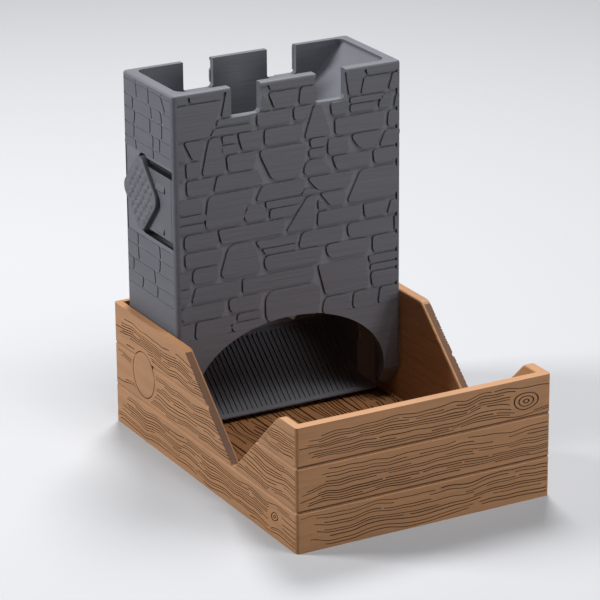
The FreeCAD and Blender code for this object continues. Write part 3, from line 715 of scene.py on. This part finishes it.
# Sunk joint floors take the painted joint highlight
for face in tower.data.polygons:
    x, y, z = (abs(c) for c in face.center)
    sunk = (
        abs(x - TOWER_X + SIDE_JOINT_DEPTH) < skin and abs(face.normal.x) > 0.9
        or abs(y - TOWER_FRONT - FRONT_JOINT_DEPTH) < skin
        or abs(y - TOWER_REAR + FRONT_JOINT_DEPTH) < skin
    )
    if sunk:
        face.material_index = 1
    # The latch slots' flat flanks take painted shade
    elif x > TOWER_X - SIDE_WALL and LATCH_OPENING[0] < z < LATCH_OPENING[1]:
        face.material_index = 2 if abs(face.normal.z) > 0.9 else 0

front_stones = lay_stones(
    "front_stones", FRONT_STONES, FRONT_JOINT_DEPTH, FRONT_STONE_GROWTH, FRONT_STONE_EDGE
)
rear_stones = front_stones.copy()
rear_stones.data = front_stones.data.copy()
rear_stones.name = "rear_stones"
bpy.context.collection.objects.link(rear_stones)
set_wall(front_stones, 0, (0, TOWER_FRONT - STONE_PROUD, 0))
set_wall(rear_stones, math.pi, (0, TOWER_REAR + STONE_PROUD, 0))

deselect()
bpy.ops.mesh.primitive_cylinder_add(vertices=96, radius=1, depth=20 * MM)
arch = bpy.context.object
arch.data.transform(
    Matrix.Translation((0, TOWER_FRONT, ARCH_SPRING))
    @ Matrix.Diagonal((ARCH_HALF_WIDTH, 1, ARCH_RISE, 1))
    @ Matrix.Rotation(math.pi / 2, 4, "X")
)
cut(front_stones, arch, "MANIFOLD")

side_stones = [
    (top, bottom, *(end - SIDE_START for end in ends), radius)
    for top, bottom, *ends, radius in SIDE_STONES
]
left_stones = lay_stones(
    "left_stones", side_stones, SIDE_JOINT_DEPTH, SIDE_STONE_GROWTH, SIDE_STONE_EDGE
)
right_stones = left_stones.copy()
right_stones.data = left_stones.data.copy()
right_stones.name = "right_stones"
bpy.context.collection.objects.link(right_stones)
set_wall(right_stones, math.pi / 2, (TOWER_X + STONE_PROUD, TOWER_FRONT, 0))
left_stones.data.transform(
    Matrix.Translation((-TOWER_X - STONE_PROUD, TOWER_FRONT, 0))
    @ Matrix.Diagonal((-1, 1, 1, 1))
    @ Matrix.Rotation(math.pi / 2, 4, "Z")
)
left_stones.data.flip_normals()

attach(tower, "tower")
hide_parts("tower_shell")
for stones in (front_stones, rear_stones, left_stones, right_stones):
    smooth(stones, 40)
    dress(stones, grey_pla)
    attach(stones, "tower")


# Baffles and exit ramp
# Sloping plates inside the shaft that tumble the dice, and a grooved slope behind the
# arch that sends them out. All grey PLA, printed in one go with the shaft.

for name in ("upper_baffle", "middle_baffle", "exit_ramp"):
    dress(frame["nodes"][name], grey_pla)


# Spring latches
# A tongue cut free by two slots in each side wall, with a grip plate on its end that
# is pressed in to free the tower. Grey PLA.

for side in ("left", "right"):
    for part in ("latch_tongue_", "latch_knob_"):
        dress(frame["nodes"][part + side], grey_pla)
    # The tongue's edges along the slots carry the same painted shade as the slots' own flanks
    tongue = frame["nodes"]["latch_tongue_" + side].data
    tongue.materials.append(slot_painted_shade_pla)
    for face in tongue.polygons:
        face.material_index = 1 if abs(face.normal.z) > 0.9 else 0

KNOB_FACE_X = 47.4 * MM
KNOB_MIDDLE = (50.35 * MM, 92.65 * MM)
KNOB_HALF_WIDTH = 10.5 * MM
KNOB_EDGE_ANGLE = math.radians(48)
BUMP_PITCH = 3.2 * MM
BUMP_RADIUS = 1.6 * MM
BUMP_HEIGHT = 0.34 * MM
BUMP_MARGIN = 2.3 * MM
BUMP_JITTER = 0.3


def grip_bumps():
    """Low worn bumps in rows along the edges of the left grip plate's face."""
    draw = random.Random(7)
    deselect()
    grip = bpy.data.objects.new("grip_bumps_left", bpy.data.meshes.new("grip_bumps_left"))
    bpy.context.collection.objects.link(grip)
    make_active(grip)
    bpy.ops.object.mode_set(mode="EDIT")
    along = (math.cos(KNOB_EDGE_ANGLE), math.sin(KNOB_EDGE_ANGLE))
    side = 2 * KNOB_HALF_WIDTH / math.sin(2 * KNOB_EDGE_ANGLE)
    rows = int((side - 2 * BUMP_MARGIN) / BUMP_PITCH)
    for i in range(rows + 1):
        for j in range(rows + 1):
            u = (i - rows / 2) * BUMP_PITCH + draw.uniform(-BUMP_JITTER, BUMP_JITTER) * MM
            v = (j - rows / 2) * BUMP_PITCH + draw.uniform(-BUMP_JITTER, BUMP_JITTER) * MM
            # The plate's four rounded corners carry no bump
            far_out = abs(u) + abs(v) > 0.93 * rows * BUMP_PITCH
            if far_out and abs(abs(u) - abs(v)) < BUMP_PITCH / 2:
                continue
            y = KNOB_MIDDLE[0] + (u + v) * along[0]
            z = KNOB_MIDDLE[1] + (u - v) * along[1]
            bpy.ops.mesh.select_all(action="DESELECT")
            bpy.ops.mesh.primitive_uv_sphere_add(
                segments=12, ring_count=6, radius=BUMP_RADIUS, location=(-KNOB_FACE_X, y, z),
                rotation=(0, math.pi / 2, 0),
            )
            height = BUMP_HEIGHT * draw.uniform(0.6, 1.0)
            bpy.ops.transform.resize(
                value=(height / BUMP_RADIUS, 1, draw.uniform(0.8, 1.0)),
                center_override=(-KNOB_FACE_X, y, z),
            )
    bpy.ops.object.mode_set(mode="OBJECT")
    return grip


left_grip = grip_bumps()
right_grip = left_grip.copy()
right_grip.data = left_grip.data.copy()
right_grip.name = "grip_bumps_right"
bpy.context.collection.objects.link(right_grip)
right_grip.data.transform(Matrix.Diagonal((-1, 1, 1, 1)))
right_grip.data.flip_normals()
for side, grip in (("left", left_grip), ("right", right_grip)):
    smooth(grip, 60)
    dress(grip, grey_pla)
    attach(grip, "latch_" + side)
